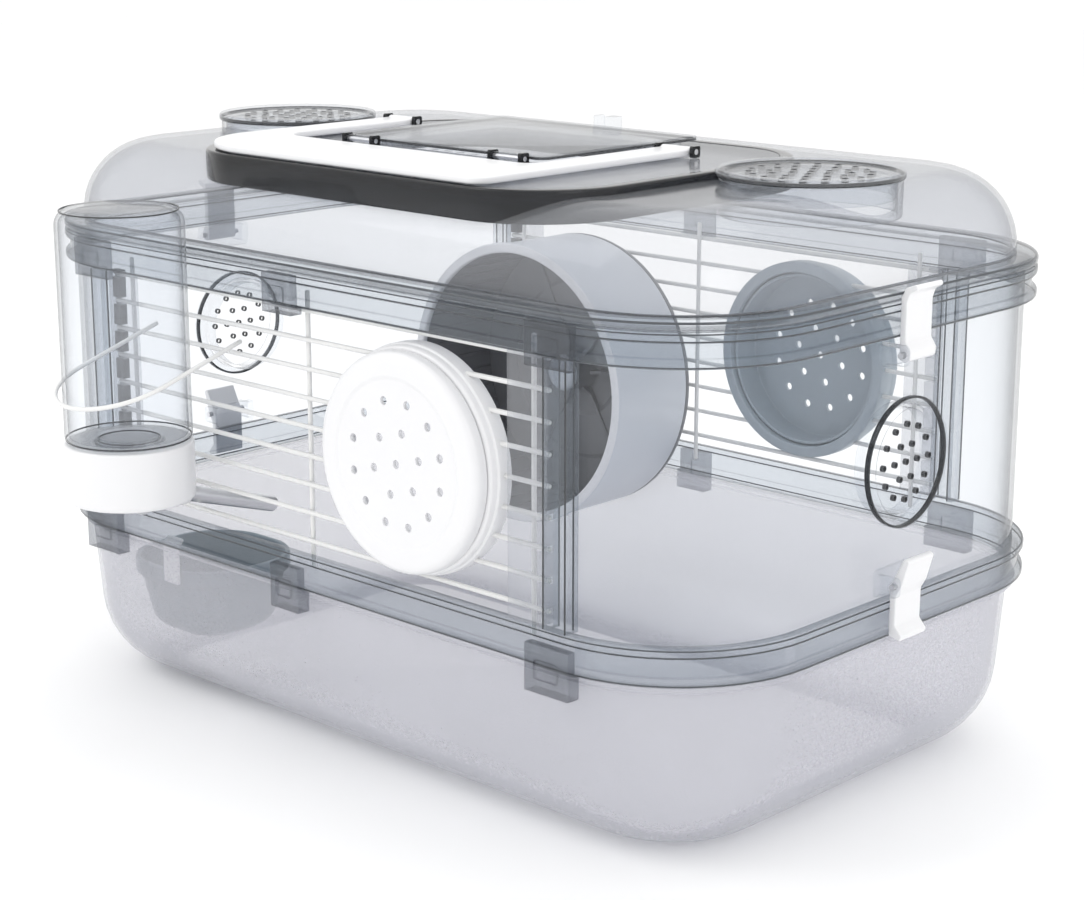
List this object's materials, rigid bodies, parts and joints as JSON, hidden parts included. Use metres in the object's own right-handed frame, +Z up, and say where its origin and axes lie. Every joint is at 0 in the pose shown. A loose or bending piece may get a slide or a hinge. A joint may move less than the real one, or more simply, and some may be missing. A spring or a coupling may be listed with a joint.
{
  "type": "small rodent cage",
  "caption": "See-through travel cage for a hamster or mouse: a deep tray, wire sides with round doors, a domed roof with a hatch and handle, a running wheel, a bottle and a bowl.",
  "frame": {"origin": "centre of the tray's flat base, where the cage stands", "axes": "+X to the right end, +Y to the back (the side with the wheel), +Z up"},
  "size_m": [0.4288, 0.3302, 0.259],
  "materials": {
    "frosted_tray": "frosted translucent, fine satin",
    "smoked_clear": "smoked clear polystyrene, glossy",
    "dark_smoked": "dark smoked clear plastic, glossy",
    "clear_plastic": "clear polystyrene, glossy",
    "roof_clear": "pale grey translucent, glossy",
    "white_plastic": "smooth moulded",
    "white_wire": "white powder coat on steel wire",
    "door_grey": "smooth moulded",
    "wheel_grey": "smooth moulded",
    "wheel_dark": "smooth moulded",
    "bowl_grey": "smooth moulded",
    "steel": "polished stainless",
    "seal_rubber": "soft silicone"
  },
  "bodies": {
    "tray": {"tray_floor": "frosted_tray", "tray_wall": "frosted_tray"},
    "cage": {"lower_ring": "smoked_clear", "upper_ring": "smoked_clear", "end_wall_right": "clear_plastic", "end_wall_left": "clear_plastic", "front_post_right": "smoked_clear", "front_post_left": "smoked_clear", "back_post_right": "smoked_clear", "back_post_left": "smoked_clear", "corner_clips": "dark_smoked", "middle_clips": "dark_smoked", "front_grille": "white_wire", "back_grille": "white_wire", "front_door_ring": "white_plastic", "back_door_ring": "door_grey", "wheel_bracket": "wheel_grey", "wheel_axle": "steel", "latch_brackets": "clear_plastic", "latch_pins": "steel"},
    "roof": {"roof_top": "roof_clear", "roof_sides": "roof_clear", "port_collars": "clear_plastic", "roof_rim": "smoked_clear", "hatch_deck": "dark_smoked", "handle_ears": "dark_smoked", "handle_pins": "steel", "lid_ears": "dark_smoked", "lid_pins": "steel", "feeder_collar": "clear_plastic", "lid_catch": "clear_plastic"},
    "handle": {"handle": "white_plastic"},
    "feeder_lid": {"feeder_lid": "clear_plastic"},
    "wheel": {"wheel_rim": "wheel_grey", "wheel_back": "wheel_dark", "wheel_hub": "wheel_dark", "wheel_hub_cap": "wheel_grey"},
    "bottle": {"bottle_body": "clear_plastic", "bottle_cap": "white_plastic", "cap_seal": "seal_rubber", "spout_cone": "wheel_dark", "spout_collar": "white_plastic", "spout_tube": "steel", "spout_ball": "steel", "bottle_hanger": "white_wire"},
    "bowl": {"food_bowl": "bowl_grey", "bowl_hook": "white_plastic"},
    "front_door": {"front_door_cap": "white_plastic", "front_door_skirt": "white_plastic"},
    "back_door": {"back_door_cap": "door_grey", "back_door_skirt": "door_grey"},
    "end_cap_right": {"end_cap_right": "clear_plastic", "end_skirt_right": "clear_plastic"},
    "end_cap_left": {"end_cap_left": "clear_plastic", "end_skirt_left": "clear_plastic"},
    "roof_cap_right": {"roof_cap_right": "clear_plastic", "port_skirt_right": "clear_plastic"},
    "roof_cap_left": {"roof_cap_left": "clear_plastic", "port_skirt_left": "clear_plastic"},
    "top_latch_right": {"top_latch_right": "white_plastic"},
    "top_latch_left": {"top_latch_left": "white_plastic"},
    "bottom_latch_right": {"bottom_latch_right": "white_plastic"},
    "bottom_latch_left": {"bottom_latch_left": "white_plastic"}
  },
  "joints": [
    {"name": "cage_lift", "type": "slide", "parent": "tray", "child": "cage", "axis": [0, 0, 1], "range_m": [0, 0.08]},
    {"name": "roof_lift", "type": "slide", "parent": "cage", "child": "roof", "axis": [0, 0, 1], "range_m": [0, 0.08]},
    {"name": "bowl_lift", "type": "slide", "parent": "tray", "child": "bowl", "axis": [0, 0, 1], "range_m": [0, 0.03]},
    {"name": "handle_fold", "type": "hinge", "parent": "roof", "child": "handle", "pos_m": [0, 0.012, 0.2534], "axis": [-1, 0, 0], "range_deg": [0, 90]},
    {"name": "feeder_lid_hinge", "type": "hinge", "parent": "roof", "child": "feeder_lid", "pos_m": [0, -0.0555, 0.2538], "axis": [1, 0, 0], "range_deg": [0, 105]},
    {"name": "wheel_spin", "type": "hinge", "parent": "cage", "child": "wheel", "pos_m": [-0.074, 0.1, 0.1222], "axis": [0, 1, 0], "continuous": true},
    {"name": "bottle_pull", "type": "slide", "parent": "cage", "child": "bottle", "axis": [0, -0.9565, 0.2917], "range_m": [0, 0.09]},
    {"name": "front_door_pull", "type": "slide", "parent": "cage", "child": "front_door", "axis": [0, -1, 0], "range_m": [0, 0.03]},
    {"name": "back_door_pull", "type": "slide", "parent": "cage", "child": "back_door", "axis": [0, 1, 0], "range_m": [0, 0.03]},
    {"name": "end_cap_right_pull", "type": "slide", "parent": "cage", "child": "end_cap_right", "axis": [1, 0, 0], "range_m": [0, 0.025]},
    {"name": "end_cap_left_pull", "type": "slide", "parent": "cage", "child": "end_cap_left", "axis": [-1, 0, 0], "range_m": [0, 0.025]},
    {"name": "roof_cap_right_lift", "type": "slide", "parent": "roof", "child": "roof_cap_right", "axis": [0, 0, 1], "range_m": [0, 0.025]},
    {"name": "roof_cap_left_lift", "type": "slide", "parent": "roof", "child": "roof_cap_left", "axis": [0, 0, 1], "range_m": [0, 0.025]},
    {"name": "top_latch_right_turn", "type": "hinge", "parent": "cage", "child": "top_latch_right", "pos_m": [0.2082, -0.005, 0.19], "axis": [0, 1, 0], "range_deg": [0, 75]},
    {"name": "top_latch_left_turn", "type": "hinge", "parent": "cage", "child": "top_latch_left", "pos_m": [-0.2082, -0.005, 0.19], "axis": [0, -1, 0], "range_deg": [0, 75]},
    {"name": "bottom_latch_right_turn", "type": "hinge", "parent": "cage", "child": "bottom_latch_right", "pos_m": [0.2082, -0.005, 0.099], "axis": [0, -1, 0], "range_deg": [0, 40]},
    {"name": "bottom_latch_left_turn", "type": "hinge", "parent": "cage", "child": "bottom_latch_left", "pos_m": [-0.2082, -0.005, 0.099], "axis": [0, 1, 0], "range_deg": [0, 40]}
  ]
}
